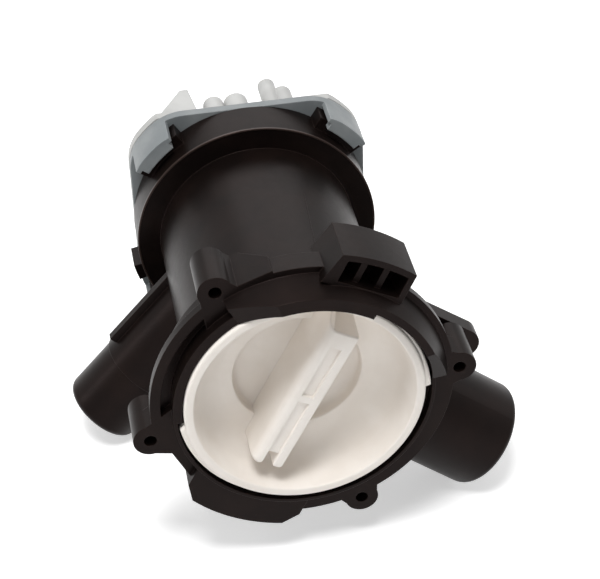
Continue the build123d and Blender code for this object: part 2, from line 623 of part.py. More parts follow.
# Motor plate, one moulding with its spigot, clips and the rotor's well
SPIGOT_INNER = SPIGOT_RADIUS - SPIGOT_WALL
PLATE_SEAL_RADIUS = SPIGOT_BORE - RUNNING_FIT - SEAL_SECTION
PLATE_GROOVE_RADIUS = PLATE_SEAL_RADIUS - SEAL_SECTION - SEAT_GAP
WELL_END = WELL_FLOOR + WELL_WALL
CUP_END = CUP_FLOOR + WELL_WALL
PLATE_MIDDLE = PLATE_Y + PLATE_THICKNESS / 2
with BuildPart() as motor_plate:
    with BuildSketch(station(PLATE_Y)):
        plate_outline()
    extrude(amount=-PLATE_THICKNESS)
    turn(((SPIGOT_FRONT, 0), (SPIGOT_FRONT, SPIGOT_RADIUS),
          (PLATE_SEAL_Y - GROOVE_HALF, SPIGOT_RADIUS),
          (PLATE_SEAL_Y - GROOVE_HALF, PLATE_GROOVE_RADIUS),
          (PLATE_SEAL_Y + GROOVE_HALF, PLATE_GROOVE_RADIUS),
          (PLATE_SEAL_Y + GROOVE_HALF, SPIGOT_RADIUS),
          (PLATE_MIDDLE, SPIGOT_RADIUS), (PLATE_MIDDLE, 0)))
    corner_walls(CLIP_FRONT, PLATE_MIDDLE, CLIP_INNER, CLIP_HALF_ANGLE)
    corner_walls(CLIP_FRONT, CLIP_FRONT + LIP_THICKNESS, LIP_RADIUS, LIP_HALF_ANGLE)
    band(SPIGOT_FRONT + SPIGOT_WEB, PLATE_END + PAST, 0, SPIGOT_INNER, mode=Mode.SUBTRACT)
    turn(((SPIGOT_FRONT, 0), (SPIGOT_FRONT, WELL_RADIUS), (WELL_END, WELL_RADIUS),
          (WELL_END, CUP_BORE + WELL_WALL), (CUP_END, CUP_BORE + WELL_WALL), (CUP_END, 0)))
    turn(((SPIGOT_FRONT - PAST, 0), (SPIGOT_FRONT - PAST, WELL_BORE), (WELL_FLOOR, WELL_BORE),
          (WELL_FLOOR, CUP_BORE), (CUP_FLOOR, CUP_BORE), (CUP_FLOOR, 0)), mode=Mode.SUBTRACT)

with BuildPart() as plate_seal:
    seal_ring(PLATE_SEAL_Y, PLATE_SEAL_RADIUS)

# Motor base, with the posts and the horn behind it
with BuildPart() as motor_base:
    with BuildSketch(station(BASE_FRONT)):
        plate_outline(BASE_INSET)
    extrude(amount=-BASE_STEP)
    with BuildSketch(station(BASE_FRONT + BASE_STEP)):
        plate_outline()
    extrude(amount=-BASE_THICKNESS)
    with BuildSketch(station(BASE_FRONT)):
        with Locations((0, PLATE_SIDE / 2)):
            Rectangle(PLATE_SIDE, 2 * BASE_TOP_INSET)
    extrude(amount=-BASE_STEP - BASE_THICKNESS, mode=Mode.SUBTRACT)
    for x, radius, length in POSTS:
        with BuildSketch(station(BASE_END)):
            with Locations((x, POST_TOP - radius)):
                Circle(radius)
        extrude(amount=-length)
    with BuildSketch(level(POST_TOP)):
        Polygon((HORN_BASE[0], BASE_END), (HORN_BASE[1], BASE_END),
                (HORN_TIP[1], BASE_END + HORN_LENGTH), (HORN_TIP[0], BASE_END + HORN_LENGTH))
    extrude(amount=-HORN_DEPTH)
    band(BASE_END, CORE_FRONT - SEAT_GAP, WELL_RADIUS, WELL_RADIUS + SEAT_RING_WALL)
    band(BASE_FRONT, CORE_FRONT, 0, WELL_RADIUS + SEAT_GAP, mode=Mode.SUBTRACT)

# Stator core
LEG_X = CORE_WIDTH / 2 - LEG_WIDTH / 2
RIVET_PLACES = [(side * (CORE_WIDTH / 2 - inset), z)
                for side in (-1, 1)
                for inset, z in ((RIVET_TOP_INSET, CORE_TOP - RIVET_TOP_INSET),
                                 (RIVET_LOW_INSET, RIVET_LOW_INSET - CORE_DROP))]
with BuildPart() as stator_core:
    with BuildSketch(station(CORE_FRONT)):
        with Locations((0, (CORE_TOP - CORE_DROP) / 2)):
            Rectangle(CORE_WIDTH, CORE_TOP + CORE_DROP)
        with Locations((0, (YOKE_HEIGHT - CORE_DROP) / 2)):
            Rectangle(CORE_WIDTH - 2 * LEG_WIDTH, CORE_DROP - YOKE_HEIGHT, mode=Mode.SUBTRACT)
        Circle(WELL_RADIUS + CORE_BORE_GAP, mode=Mode.SUBTRACT)
        with Locations(*RIVET_PLACES):
            Circle(RIVET_RADIUS + RUNNING_FIT, mode=Mode.SUBTRACT)
    extrude(amount=-CORE_LENGTH)

# Rivets through the stack
core_rivets = []
for x, z in RIVET_PLACES:
    with BuildPart() as core_rivet:
        with BuildSketch(station(CORE_FRONT - SEAT_GAP - RIVET_HEAD)):
            with Locations((x, z)):
                Circle(RIVET_RADIUS)
        extrude(amount=-(CORE_LENGTH + 2 * (SEAT_GAP + RIVET_HEAD)))
        for front in (CORE_FRONT - SEAT_GAP - RIVET_HEAD, CORE_END + SEAT_GAP):
            with BuildSketch(station(front)):
                with Locations((x, z)):
                    Circle(RIVET_HEAD_RADIUS)
            extrude(amount=-RIVET_HEAD)
    core_rivets.append(core_rivet)


def coil_sleeve(side, inner, outer, bottom, top):
    """A tube of rectangular section round one leg of the core, grown from the leg's size."""
    with BuildSketch(level(bottom)) as section:
        with Locations((side * LEG_X, CORE_MIDDLE)):
            RectangleRounded(LEG_WIDTH + 2 * outer, CORE_LENGTH + 2 * outer, COIL_CORNER)
            Rectangle(LEG_WIDTH + 2 * inner, CORE_LENGTH + 2 * inner, mode=Mode.SUBTRACT)
    extrude(section.sketch, amount=top - bottom)


# Coils: a bobbin, its winding and a cover on each leg
BOBBIN_LOW = YOKE_HEIGHT + SEAT_GAP - CORE_DROP
WIRE_LOW = BOBBIN_LOW + BOBBIN_FLANGE + SEAT_GAP
WIRE_TOP = BOBBIN_TOP - BOBBIN_FLANGE - SEAT_GAP
BOBBIN_OUTER = SEAT_GAP + BOBBIN_WALL
WIRE_INNER = BOBBIN_OUTER + SEAT_GAP
COVER_INNER = WIRE_INNER + WINDING_DEPTH + SEAT_GAP
coils = {}
for name, side in (("left", -1), ("right", 1)):
    with BuildPart() as coil_bobbin:
        coil_sleeve(side, SEAT_GAP, BOBBIN_OUTER, BOBBIN_LOW, BOBBIN_TOP)
        coil_sleeve(side, SEAT_GAP, COIL_REACH, BOBBIN_LOW, BOBBIN_LOW + BOBBIN_FLANGE)
        coil_sleeve(side, SEAT_GAP, COIL_REACH, BOBBIN_TOP - BOBBIN_FLANGE, BOBBIN_TOP)
    with BuildPart() as coil_winding:
        coil_sleeve(side, WIRE_INNER, WIRE_INNER + WINDING_DEPTH, WIRE_LOW, WIRE_TOP)
    with BuildPart() as coil_cover:
        coil_sleeve(side, COVER_INNER, COIL_REACH, WIRE_LOW, WIRE_TOP)
    coils["coil_bobbin_" + name] = coil_bobbin
    coils["coil_winding_" + name] = coil_winding
    coils["coil_cover_" + name] = coil_cover

# Terminal block and its two blades
BLADE_Z = BLOCK_TOP - BLOCK_HEIGHT / 2
BLADE_PLACES = [(side * BLADE_SPREAD / 2, BLADE_Z) for side in (-1, 1)]
with BuildPart() as terminal_block:
    with BuildSketch(station(BLOCK_FRONT)):
        with Locations((0, BLADE_Z)):
            RectangleRounded(BLOCK_WIDTH, BLOCK_HEIGHT, COIL_CORNER)
    extrude(amount=-BLOCK_DEPTH)
    with BuildSketch(station(BLADE_ROOT - RUNNING_FIT)):
        with Locations(*BLADE_PLACES):
            Rectangle(BLADE_THICKNESS + 2 * RUNNING_FIT, BLADE_WIDTH + 2 * RUNNING_FIT)
    extrude(amount=-BLOCK_DEPTH, mode=Mode.SUBTRACT)

terminal_blades = []
for x, z in BLADE_PLACES:
    with BuildPart() as terminal_blade:
        with BuildSketch(station(BLADE_ROOT)):
            with Locations((x, z)):
                Rectangle(BLADE_THICKNESS, BLADE_WIDTH)
        extrude(amount=BLADE_ROOT - REAR_Y)
        tip = faces().sort_by(Axis.Y)[-1]
        chamfer(tip.edges().filter_by(Axis.X), length=BLADE_CHAMFER)
    terminal_blades.append(terminal_blade)

# Bearing holder in the mouth of the well, with the shaft's seal and bearing
SEAL_POCKET_END = HOLDER_FRONT + SEAL_LENGTH + SEAT_GAP
FRONT_BEARING_Y = SEAL_POCKET_END + HOLDER_WEB
HOLDER_END = FRONT_BEARING_Y + BEARING_LENGTH + SEAT_GAP
with BuildPart() as bearing_holder:
    turn(((HOLDER_FRONT, SEAL_RADIUS + RUNNING_FIT), (HOLDER_FRONT, HOLDER_FLANGE_RADIUS),
          (HOLDER_FRONT + HOLDER_FLANGE, HOLDER_FLANGE_RADIUS),
          (HOLDER_FRONT + HOLDER_FLANGE, WELL_BORE - RUNNING_FIT),
          (HOLDER_END, WELL_BORE - RUNNING_FIT), (HOLDER_END, BEARING_RADIUS + RUNNING_FIT),
          (FRONT_BEARING_Y, BEARING_RADIUS + RUNNING_FIT), (FRONT_BEARING_Y, HOLDER_HOLE),
          (SEAL_POCKET_END, HOLDER_HOLE), (SEAL_POCKET_END, SEAL_RADIUS + RUNNING_FIT)))

SHAFT_BORE = SHAFT_RADIUS + RUNNING_FIT
with BuildPart() as shaft_seal:
    band(HOLDER_FRONT, HOLDER_FRONT + SEAL_LENGTH, SHAFT_BORE, SEAL_RADIUS)

with BuildPart() as front_bearing:
    band(FRONT_BEARING_Y + SEAT_GAP, FRONT_BEARING_Y + SEAT_GAP + BEARING_LENGTH,
         SHAFT_BORE, BEARING_RADIUS)

# Rear bearing in its rubber mount, in the cup at the end of the well
with BuildPart() as rear_mount:
    band(WELL_FLOOR, CUP_FLOOR - SEAT_GAP, BEARING_RADIUS + RUNNING_FIT, MOUNT_RADIUS)

with BuildPart() as rear_bearing:
    band(WELL_FLOOR, WELL_FLOOR + BEARING_LENGTH, SHAFT_BORE, BEARING_RADIUS)

# Rotor
with BuildPart() as rotor_shaft:
    band(SHAFT_FRONT, CUP_FLOOR - SEAT_GAP, 0, SHAFT_RADIUS)

CARRIER_RADIUS = MAGNET_RADIUS - MAGNET_WALL - RUNNING_FIT
with BuildPart() as magnet_carrier:
    band(MAGNET_FRONT, MAGNET_END, SHAFT_BORE, CARRIER_RADIUS)
    band(MAGNET_FRONT - CARRIER_NOSE, MAGNET_FRONT, SHAFT_BORE, CARRIER_NOSE_RADIUS)

with BuildPart() as rotor_magnet:
    band(MAGNET_FRONT, MAGNET_END, CARRIER_RADIUS + RUNNING_FIT, MAGNET_RADIUS)

# The drive dog turns freely for about half a turn before it carries the impeller round
DRUM_END = DRUM_FLOOR_Y + DRUM_LENGTH
COVER_FRONT = DRUM_END - DRUM_COVER
DOG_FRONT = DRUM_FLOOR_Y + CLEAR
DOG_END = COVER_FRONT - CLEAR
with BuildPart() as drive_dog:
    band(DOG_FRONT, DOG_END, SHAFT_BORE, DOG_HUB)
    band(DOG_FRONT, DOG_END, SHAFT_BORE, DOG_RADIUS, DOG_MIDDLE, DOG_ARC / 2)

with BuildPart() as thrust_washer:
    band(HOLDER_FRONT - CLEAR - WASHER_THICKNESS, HOLDER_FRONT - CLEAR, SHAFT_BORE,
         WASHER_RADIUS)

with BuildPart() as impeller_clip:
    band(IMPELLER_FRONT - CLEAR - END_CLIP_THICKNESS, IMPELLER_FRONT - CLEAR, SHAFT_BORE,
         END_CLIP_RADIUS)

# Impeller, with its drive lug just clockwise of the dog
VANE_END = IMPELLER_FRONT + VANE_LENGTH
DRIVE_MIDDLE = DOG_MIDDLE - (DOG_ARC + DRIVE_ARC) / 2 - DRIVE_MARGIN
with BuildPart() as impeller:
    band(IMPELLER_FRONT, DRUM_FLOOR_Y, SHAFT_BORE, NOSE_RADIUS)
    band(DRUM_FLOOR_Y - DISC_THICKNESS, DRUM_FLOOR_Y, SHAFT_BORE, DRUM_RADIUS)
    band(DRUM_FLOOR_Y, DRUM_END, DRUM_BORE, DRUM_RADIUS)
    band(DRUM_FLOOR_Y, COVER_FRONT - RUNNING_FIT, DOG_HUB + CLEAR, DRUM_RADIUS,
         DRIVE_MIDDLE, DRIVE_ARC / 2)
    band(VANE_END, VANE_END + DISC_THICKNESS, DRUM_BORE, IMPELLER_RADIUS)
    vane_root = NOSE_RADIUS - VANE_THICKNESS
    with BuildSketch(station(IMPELLER_FRONT)):
        with PolarLocations((vane_root + IMPELLER_RADIUS) / 2, VANE_COUNT):
            Rectangle(IMPELLER_RADIUS - vane_root, VANE_THICKNESS)
        Circle(DRUM_RADIUS, mode=Mode.SUBTRACT)
    extrude(amount=-VANE_LENGTH)
    with BuildSketch(station(IMPELLER_FRONT)):
        with PolarLocations((vane_root + DRUM_RADIUS + WALL) / 2, VANE_COUNT):
            Rectangle(DRUM_RADIUS + WALL - vane_root, VANE_THICKNESS)
    extrude(amount=IMPELLER_FRONT - DRUM_FLOOR_Y + DISC_THICKNESS)

with BuildPart() as impeller_cover:
    band(COVER_FRONT, DRUM_END, SHAFT_BORE + CLEAR, DRUM_BORE - RUNNING_FIT)

# Every piece under its own name
pieces = {
    "housing_front": housing_front,
    "filter_chamber": filter_chamber,
    "pump_chamber": pump_chamber,
    "filter_cap": filter_cap,
    "cap_seal": cap_seal,
    "filter_basket": filter_basket,
    "motor_plate": motor_plate,
    "plate_seal": plate_seal,
    "motor_base": motor_base,
    "stator_core": stator_core,
    "terminal_block": terminal_block,
    "bearing_holder": bearing_holder,
    "shaft_seal": shaft_seal,
    "front_bearing": front_bearing,
    "rear_mount": rear_mount,
    "rear_bearing": rear_bearing,
    "rotor_shaft": rotor_shaft,
    "magnet_carrier": magnet_carrier,
    "rotor_magnet": rotor_magnet,
    "drive_dog": drive_dog,
    "thrust_washer": thrust_washer,
    "impeller_clip": impeller_clip,
    "impeller": impeller,
    "impeller_cover": impeller_cover,
}
pieces.update(coils)
for number, core_rivet in enumerate(core_rivets, start=1):
    pieces["core_rivet_" + str(number)] = core_rivet
for number, terminal_blade in enumerate(terminal_blades, start=1):
    pieces["terminal_blade_" + str(number)] = terminal_blade

os.makedirs("parts", exist_ok=True)
for name, piece in pieces.items():
    piece.part.label = name
    export_step(piece.part, "parts/" + name + ".step")
print("axis at", AXIS_X, DATUM_Y, AXIS_Z)
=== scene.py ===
import json
import math

import bmesh
import bpy
import numpy as np
from mathutils import Matrix, Vector


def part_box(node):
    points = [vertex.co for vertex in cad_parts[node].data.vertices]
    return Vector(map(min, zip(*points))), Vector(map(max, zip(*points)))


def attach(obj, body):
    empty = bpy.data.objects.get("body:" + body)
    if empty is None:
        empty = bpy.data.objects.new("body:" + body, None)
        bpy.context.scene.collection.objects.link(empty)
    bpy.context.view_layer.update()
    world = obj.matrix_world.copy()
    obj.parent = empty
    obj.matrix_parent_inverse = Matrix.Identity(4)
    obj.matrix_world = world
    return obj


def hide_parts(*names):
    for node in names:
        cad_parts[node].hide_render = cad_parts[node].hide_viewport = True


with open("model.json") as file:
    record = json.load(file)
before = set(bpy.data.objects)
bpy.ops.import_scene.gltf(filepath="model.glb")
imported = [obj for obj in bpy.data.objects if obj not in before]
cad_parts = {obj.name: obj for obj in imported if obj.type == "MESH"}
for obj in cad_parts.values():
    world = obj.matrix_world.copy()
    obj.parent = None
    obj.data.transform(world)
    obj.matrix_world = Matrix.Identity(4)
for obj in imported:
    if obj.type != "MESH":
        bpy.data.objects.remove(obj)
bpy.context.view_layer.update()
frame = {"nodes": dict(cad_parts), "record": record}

# The pump's axis runs along Y. Places are in millimetres from a datum on it,
# X to the right, Y to the rear, and Z up, as the pump is seen from the cap.
RIM_FRONT = -1.5
plate_low, plate_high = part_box("motor_plate")
cap_low, cap_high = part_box("filter_cap")
AXIS_X = (plate_low.x + plate_high.x) / 2
AXIS_Z = (plate_low.z + plate_high.z) / 2
DATUM = np.array((AXIS_X, cap_low.y - RIM_FRONT / 1000, AXIS_Z))


class Wire:
    """A value on a node's socket. Sums written with it add Math nodes."""

    def __init__(self, finish, socket):
        self.finish = finish
        self.socket = socket

    def sum(self, operation, first, second):
        return self.finish.node("ShaderNodeMath", {"operation": operation}, {0: first, 1: second})

    def __add__(self, other):
        return self.sum("ADD", self, other)

    def __sub__(self, other):
        return self.sum("SUBTRACT", self, other)

    def __rsub__(self, other):
        return self.sum("SUBTRACT", other, self)

    def __mul__(self, other):
        return self.sum("MULTIPLY", self, other)


BEVEL_SAMPLES = 6
# How far a rounded edge's normal leans where its paler tone begins, and where it is full: partly wear,
# partly a painted highlight along the edge
WEAR_AND_HIGHLIGHT_LEAN = (0.03, 0.3)


class Finish:
    """A material: one Principled shader, with constants set on its own sockets."""

    def __init__(self, name, **constants):
        self.material = bpy.data.materials.new(name)
        self.material.use_nodes = True
        self.tree = self.material.node_tree
        self.shader = self.tree.nodes["Principled BSDF"]
        for socket, value in constants.items():
            self.shader.inputs[socket.replace("_", " ")].default_value = value

    def node(self, kind, settings=None, sockets=None, output=0):
        """Add a node of a kind, with its settings, then the values or links of its sockets."""
        made = self.tree.nodes.new(kind)
        for setting, value in (settings or {}).items():
            setattr(made, setting, value)
        for socket, value in (sockets or {}).items():
            if isinstance(value, Wire):
                self.tree.links.new(value.socket, made.inputs[socket])
            else:
                made.inputs[socket].default_value = value
        return Wire(self, made.outputs[output])

    def place(self):
        """Where a point of the surface is, in metres from the origin."""
        return self.node("ShaderNodeTexCoord", output="Object")

    def noise(self, scale, detail, roughness=0.5):
        """Cloudy noise with about this many lumps in a metre."""
        return self.node("ShaderNodeTexNoise", None, {"Vector": self.place(), "Scale": scale,
                                                      "Detail": detail, "Roughness": roughness})

    def between(self, value, low, high):
        """0 below low, 1 above high, and a smooth step between."""
        return self.node("ShaderNodeMapRange", {"interpolation_type": "SMOOTHSTEP"},
                         {"Value": value, "From Min": low, "From Max": high})

    def mix(self, factor, first, second):
        """A colour between two colours. The node's colours are its sockets 6 and 7, and its output 2."""
        return self.node("ShaderNodeMix", {"data_type": "RGBA"},
                         {0: factor, 6: first, 7: second}, output=2)

    def mix_directions(self, factor, first, second):
        """A direction between two directions, which are the node's sockets 4 and 5, and its output 1."""
        return self.node("ShaderNodeMix", {"data_type": "VECTOR"},
                         {0: factor, 4: first, 5: second}, output=1)

    def feed(self, socket, value):
        self.tree.links.new(value.socket, self.shader.inputs[socket])

    def round_edges(self, radius):
        """The surface's normal with its sharp edges rounded off."""
        return self.node("ShaderNodeBevel", {"samples": BEVEL_SAMPLES}, {"Radius": radius})

    def relief(self, height, distance, strength, normal):
        """Fine relief on top of a normal."""
        self.feed("Normal", self.node("ShaderNodeBump", None, {"Height": height, "Distance": distance,
                                                               "Strength": strength, "Normal": normal}))

    def edge_wear_and_highlight(self, radius):
        """1 on a paler edge and 0 on the flat, the edge partly worn and partly given a painted highlight:
        how far the rounded normal leans from the plain one.
        """
        plain = self.node("ShaderNodeNewGeometry", output="Normal")
        lean = self.node("ShaderNodeVectorMath", {"operation": "DOT_PRODUCT"},
                         {0: self.round_edges(radius), 1: plain}, output="Value")
        return self.between(1 - lean, *WEAR_AND_HIGHLIGHT_LEAN)


def rgb(red, green, blue):
    """A colour given in levels of 0 to 255, as the light values that a shader takes, by the usual curve
    of screen levels."""
    levels = [value / 255 for value in (red, green, blue)]
    return tuple([v / 12.92 if v <= 0.04045 else ((v + 0.055) / 1.055) ** 2.4 for v in levels] + [1.0])


# Where the housing's nodes meet flat: there its edges are neither softened nor paler, a paleness that is
# partly wear and partly a painted highlight
housing_boxes = [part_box(part["node"]) for part in frame["record"]["subparts"]
                 if part["material_slot"] == "housing"]
MEETS_WITHIN = 1e-5
MEETINGS = [low.y for low, _ in housing_boxes
            if min(abs(low.y - high.y) for _, high in housing_boxes) < MEETS_WITHIN]
# Distances from such a meeting, in metres, between which softening and the paler edges, partly wear and
# partly a painted highlight, fade in
MEETING_FADE = (0.0004, 0.0008)
WEAR_AND_HIGHLIGHT_SHARE = 0.6


def moulded(name, dark, light, roughness, spread, grain, edge, specular=0.5, wear_and_highlight=None, meetings=(),
            gleam=(1.0, 1.0, 1.0, 1.0)):
    """Moulded plastic: two tones, cloudy gloss, a fine grain and softened, paler edges. The edges stay
    plain where nodes meet. Lengths are in metres, and gleam is the colour of its reflections."""
    finish = Finish(name, Specular_IOR_Level=specular, Specular_Tint=gleam)
    edges = finish.round_edges(edge)
    apart = 1.0
    if meetings:
        along = finish.node("ShaderNodeSeparateXYZ", None, {"Vector": finish.place()}, output="Y")
        plain = finish.node("ShaderNodeNewGeometry", output="Normal")
        for meeting in meetings:
            distance = finish.node("ShaderNodeMath", {"operation": "ABSOLUTE"}, {0: along - meeting})
            apart = finish.between(distance, *MEETING_FADE) * apart
        edges = finish.mix_directions(apart, plain, edges)
    cloud = finish.noise(90, 4)
    tone = finish.mix(finish.between(cloud, 0.35, 0.68), dark, light)
    # The paler edges: partly wear, partly a painted highlight on the edges
    if wear_and_highlight:
        tone = finish.mix(finish.edge_wear_and_highlight(edge) * WEAR_AND_HIGHLIGHT_SHARE * apart, tone, wear_and_highlight)
    finish.feed("Base Color", tone)
    smear = finish.noise(420, 5, 0.65)
    finish.feed("Roughness", smear * spread + (roughness - spread / 2))
    finish.relief(finish.noise(5200, 2) * 0.6 + finish.noise(1500, 3) * 0.4, grain, 0.6, edges)
    return finish.material


def metal(name, dark, light, roughness, spread, grain, edge, sheets=None):
    """Bare metal with a cloudy tone and a fine grain, or with the bands of stacked sheets, which are this
    many metres thick."""
    finish = Finish(name, Metallic=1.0)
    finish.feed("Base Color", finish.mix(finish.between(finish.noise(160, 4), 0.3, 0.7), dark, light))
    finish.feed("Roughness", finish.noise(700, 4) * spread + (roughness - spread / 2))
    height = finish.noise(3000, 2)
    if sheets:
        # The wave repeats after pi / 10 of its scaled length, so one band is one sheet
        height = finish.node("ShaderNodeTexWave", {"bands_direction": "Y"},
                             {"Vector": finish.place(), "Scale": math.pi / (10 * sheets)}, output=1)
    finish.relief(height, grain, 0.5, finish.round_edges(edge))
    return finish.material


# Each moulded finish: its name and two tones, its roughness and how far that spreads, the depth of its
# grain and the width of its edges in metres, how strongly it gleams, and the tone of its paler edges,
# which is partly wear and partly a painted highlight
WARM_GLEAM = (1.0, 0.77, 0.74, 1.0)
black_plastic = moulded("black plastic", rgb(13, 9, 8), rgb(20, 14, 12), 0.35, 0.12, 0.00002, 0.00035,
                        0.1, rgb(50, 39, 34), MEETINGS, WARM_GLEAM)
# The lip's lighter black plastic is a painted highlight along the ring's front edge
painted_highlight_lip_plastic = moulded("black plastic lip, painted highlight", rgb(44, 35, 31), rgb(54, 44, 40), 0.3, 0.1, 0.00002, 0.00015,
                      0.3, gleam=WARM_GLEAM)
white_plastic = moulded("white plastic", rgb(236, 229, 221), rgb(241, 235, 228), 0.4, 0.1, 0.00001,
                        0.0004, 0.35)
grey_plastic = moulded("grey plastic", rgb(122, 127, 129), rgb(138, 142, 143), 0.42, 0.14, 0.00003,
                       0.0005, 0.3, rgb(186, 190, 191))
pale_plastic = moulded("pale plastic", rgb(178, 178, 176), rgb(192, 192, 190), 0.42, 0.12, 0.00003,
                       0.0005, 0.35)
nylon = moulded("nylon", rgb(214, 208, 194), rgb(226, 221, 209), 0.45, 0.12, 0.00003, 0.0004, 0.4)
coil_wrap = moulded("coil cover", rgb(24, 24, 26), rgb(36, 36, 38), 0.38, 0.15, 0.00004, 0.0008, 0.4)
rubber = moulded("black rubber", rgb(22, 22, 22), rgb(32, 32, 32), 0.62, 0.15, 0.00004, 0.0003, 0.3)
steel = metal("bright steel", rgb(176, 178, 180), rgb(205, 206, 208), 0.32, 0.15, 0.00002, 0.0003)
sheet_steel = metal("sheet steel", rgb(120, 124, 128), rgb(150, 153, 156), 0.45, 0.2, 0.00012, 0.0003,
                    sheets=0.0006)
tinned = metal("tinned brass", rgb(196, 188, 168), rgb(214, 207, 190), 0.33, 0.15, 0.00002, 0.0002)
bronze = metal("bearing bronze", rgb(150, 112, 66), rgb(176, 136, 84), 0.4, 0.15, 0.00003, 0.0002)
copper = metal("copper wire", rgb(150, 74, 36), rgb(186, 98, 52), 0.35, 0.15, 0.00003, 0.0002)
ferrite = moulded("ferrite", rgb(46, 46, 48), rgb(62, 62, 64), 0.5, 0.15, 0.00004, 0.0003, 0.5)

NODE_FINISHES = {
    "housing": black_plastic,
    "cap": white_plastic,
    "plate": grey_plastic,
    "base": pale_plastic,
    "seal_rubber": rubber,
    "lamination": sheet_steel,
    "bobbin": nylon,
    "copper": copper,
    "coil_wrap": coil_wrap,
    "rivet_steel": steel,
    "blade_metal": tinned,
    "shaft_steel": steel,
    "bearing": bronze,
    "magnet": ferrite,
    "rotor_plastic": pale_plastic,
}
for part in frame["record"]["subparts"]:
    node = frame["nodes"][part["node"]]
    node.data.materials.clear()
    node.data.materials.append(NODE_FINISHES[part["material_slot"]])


# Shapes. A surface is a grid of points, rows by columns, in millimetres from the datum.
class Moulding:
    """A piece gathered from grids of points."""

    def __init__(self):
        self.points = []
        self.faces = []
        self.count = 0

    def grid(self, points, round_rows=False, round_columns=False):
        """Add a grid. Each cell is one face, and a round direction joins its last line to its first."""
        rows, columns = points.shape[:2]
        number = self.count + np.arange(rows * columns).reshape(rows, columns)
        if round_rows:
            number = np.vstack((number, number[:1]))
        if round_columns:
            number = np.hstack((number, number[:, :1]))
        cells = np.stack((number[:-1, :-1], number[:-1, 1:], number[1:, 1:], number[1:, :-1]), axis=-1)
        self.points.append(points.reshape(-1, 3))
        self.faces.append(cells.reshape(-1, 4))
        self.count += rows * columns
        return self

    def make(self, name, body, slot, finish, replaced=()):
        """Merge what coincides, turn the faces outwards, and give the piece its body and finish."""
        mesh = bpy.data.meshes.new(name)
        places = np.vstack(self.points) / 1000 + DATUM
        mesh.from_pydata(places.tolist(), [], np.vstack(self.faces).tolist())
        shell = bmesh.new()
        shell.from_mesh(mesh)
        bmesh.ops.remove_doubles(shell, verts=shell.verts, dist=MERGE)
        bmesh.ops.dissolve_degenerate(shell, edges=shell.edges, dist=MERGE)
        bmesh.ops.recalc_face_normals(shell, faces=shell.faces)
        shell.to_mesh(mesh)
        shell.free()
        mesh.polygons.foreach_set("use_smooth", np.ones(len(mesh.polygons), dtype=bool))
        mesh.set_sharp_from_angle(angle=math.radians(SHARP_ANGLE))
        mesh.materials.append(finish)
        piece = bpy.data.objects.new(name, mesh)
        bpy.context.scene.collection.objects.link(piece)
        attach(piece, body)
        if replaced:
            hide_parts(*replaced)
        return piece


# Points this near, in metres, are one point, and edges that bend more than this, in degrees, are sharp
MERGE = 1e-6
SHARP_ANGLE = 40.0
SHORTEST = 1e-9
SMALLEST_SWING = 1e-6
TURN_STEPS = 192


def rounded(corners, steps):
    """A closed outline of (a, b, radius) corners, each corner an arc tangent to its two sides: its centre
    lies radius / sin(half) along the corner's middle line, where half is half of the corner's angle."""
    corners = np.array(corners, dtype=float)
    here = corners[:, :2]
    back = np.roll(here, 1, axis=0) - here
    ahead = np.roll(here, -1, axis=0) - here
    back /= np.linalg.norm(back, axis=1)[:, None]
    ahead /= np.linalg.norm(ahead, axis=1)[:, None]
    half = np.arccos(np.clip((back * ahead).sum(axis=1), -1, 1)) / 2
    middle = back + ahead
    middle /= np.maximum(np.linalg.norm(middle, axis=1), SHORTEST)[:, None]
    reach = corners[:, 2] / np.tan(half)
    centre = here + middle * (corners[:, 2] / np.sin(half))[:, None]
    start = here + back * reach[:, None] - centre
    finish = here + ahead * reach[:, None] - centre
    share = np.linspace(0, 1, steps)[None, :, None]
    swing = np.maximum(math.pi - 2 * half, SMALLEST_SWING)[:, None, None]
    arcs = (np.sin((1 - share) * swing) * start[:, None] + np.sin(share * swing) * finish[:, None])
    arcs = arcs / np.sin(swing) + centre[:, None]
    return arcs.reshape(-1, 2)


def turned(profile):
    """A profile of (place, radius) points turned once about the axis: x is radius * cos(angle), y is
    place, and z is radius * sin(angle)."""
    angle = np.radians(np.linspace(0, 360, TURN_STEPS, endpoint=False))[:, None]
    place = np.broadcast_to(profile[None, :, 0], (len(angle), len(profile)))
    return np.stack((profile[None, :, 1] * np.cos(angle), place, profile[None, :, 1] * np.sin(angle)),
                    axis=-1)


# Filter cap: a turned bowl, cam ramps beside the rim, bayonet lugs and the grip
CAP_PROFILE = ((-1.5, 31.0, 0.55), (-1.5, 33.6, 0.8), (8.6, 33.6, 0.15), (8.6, 31.85, 0.15),
               (11.2, 31.85, 0.15), (11.2, 33.6, 0.15), (14.5, 33.6, 0.5), (14.5, 20.2, 0.3),
               (18.3, 20.2, 0.5), (18.3, 0.02, 0.005), (16.3, 0.02, 0.005), (16.3, 18.2, 1.3),
               (12.5, 18.2, 0.5), (12.5, 28.4, 8.0))
# Cams: the middle angles of the ramps and lugs, half their angle, their front and rear, and how much of
# a ramp's width is lost along it
RAMPS = (27.0, 214.0)
RAMP_HALF = 28.8
RAMP_ENDS = (-0.7, 2.3)
RAMP_TAPER = 0.93
LUGS = (13.0, 193.0)
LUG_HALF = 10.9
LUG_ENDS = (4.5, 7.1)
CAM_FOOT = 33.0
CAM_ROOT = 0.6
CAM_WIDTH = 1.55
CAM_STEPS = 40
CAM_ROUNDING = 40


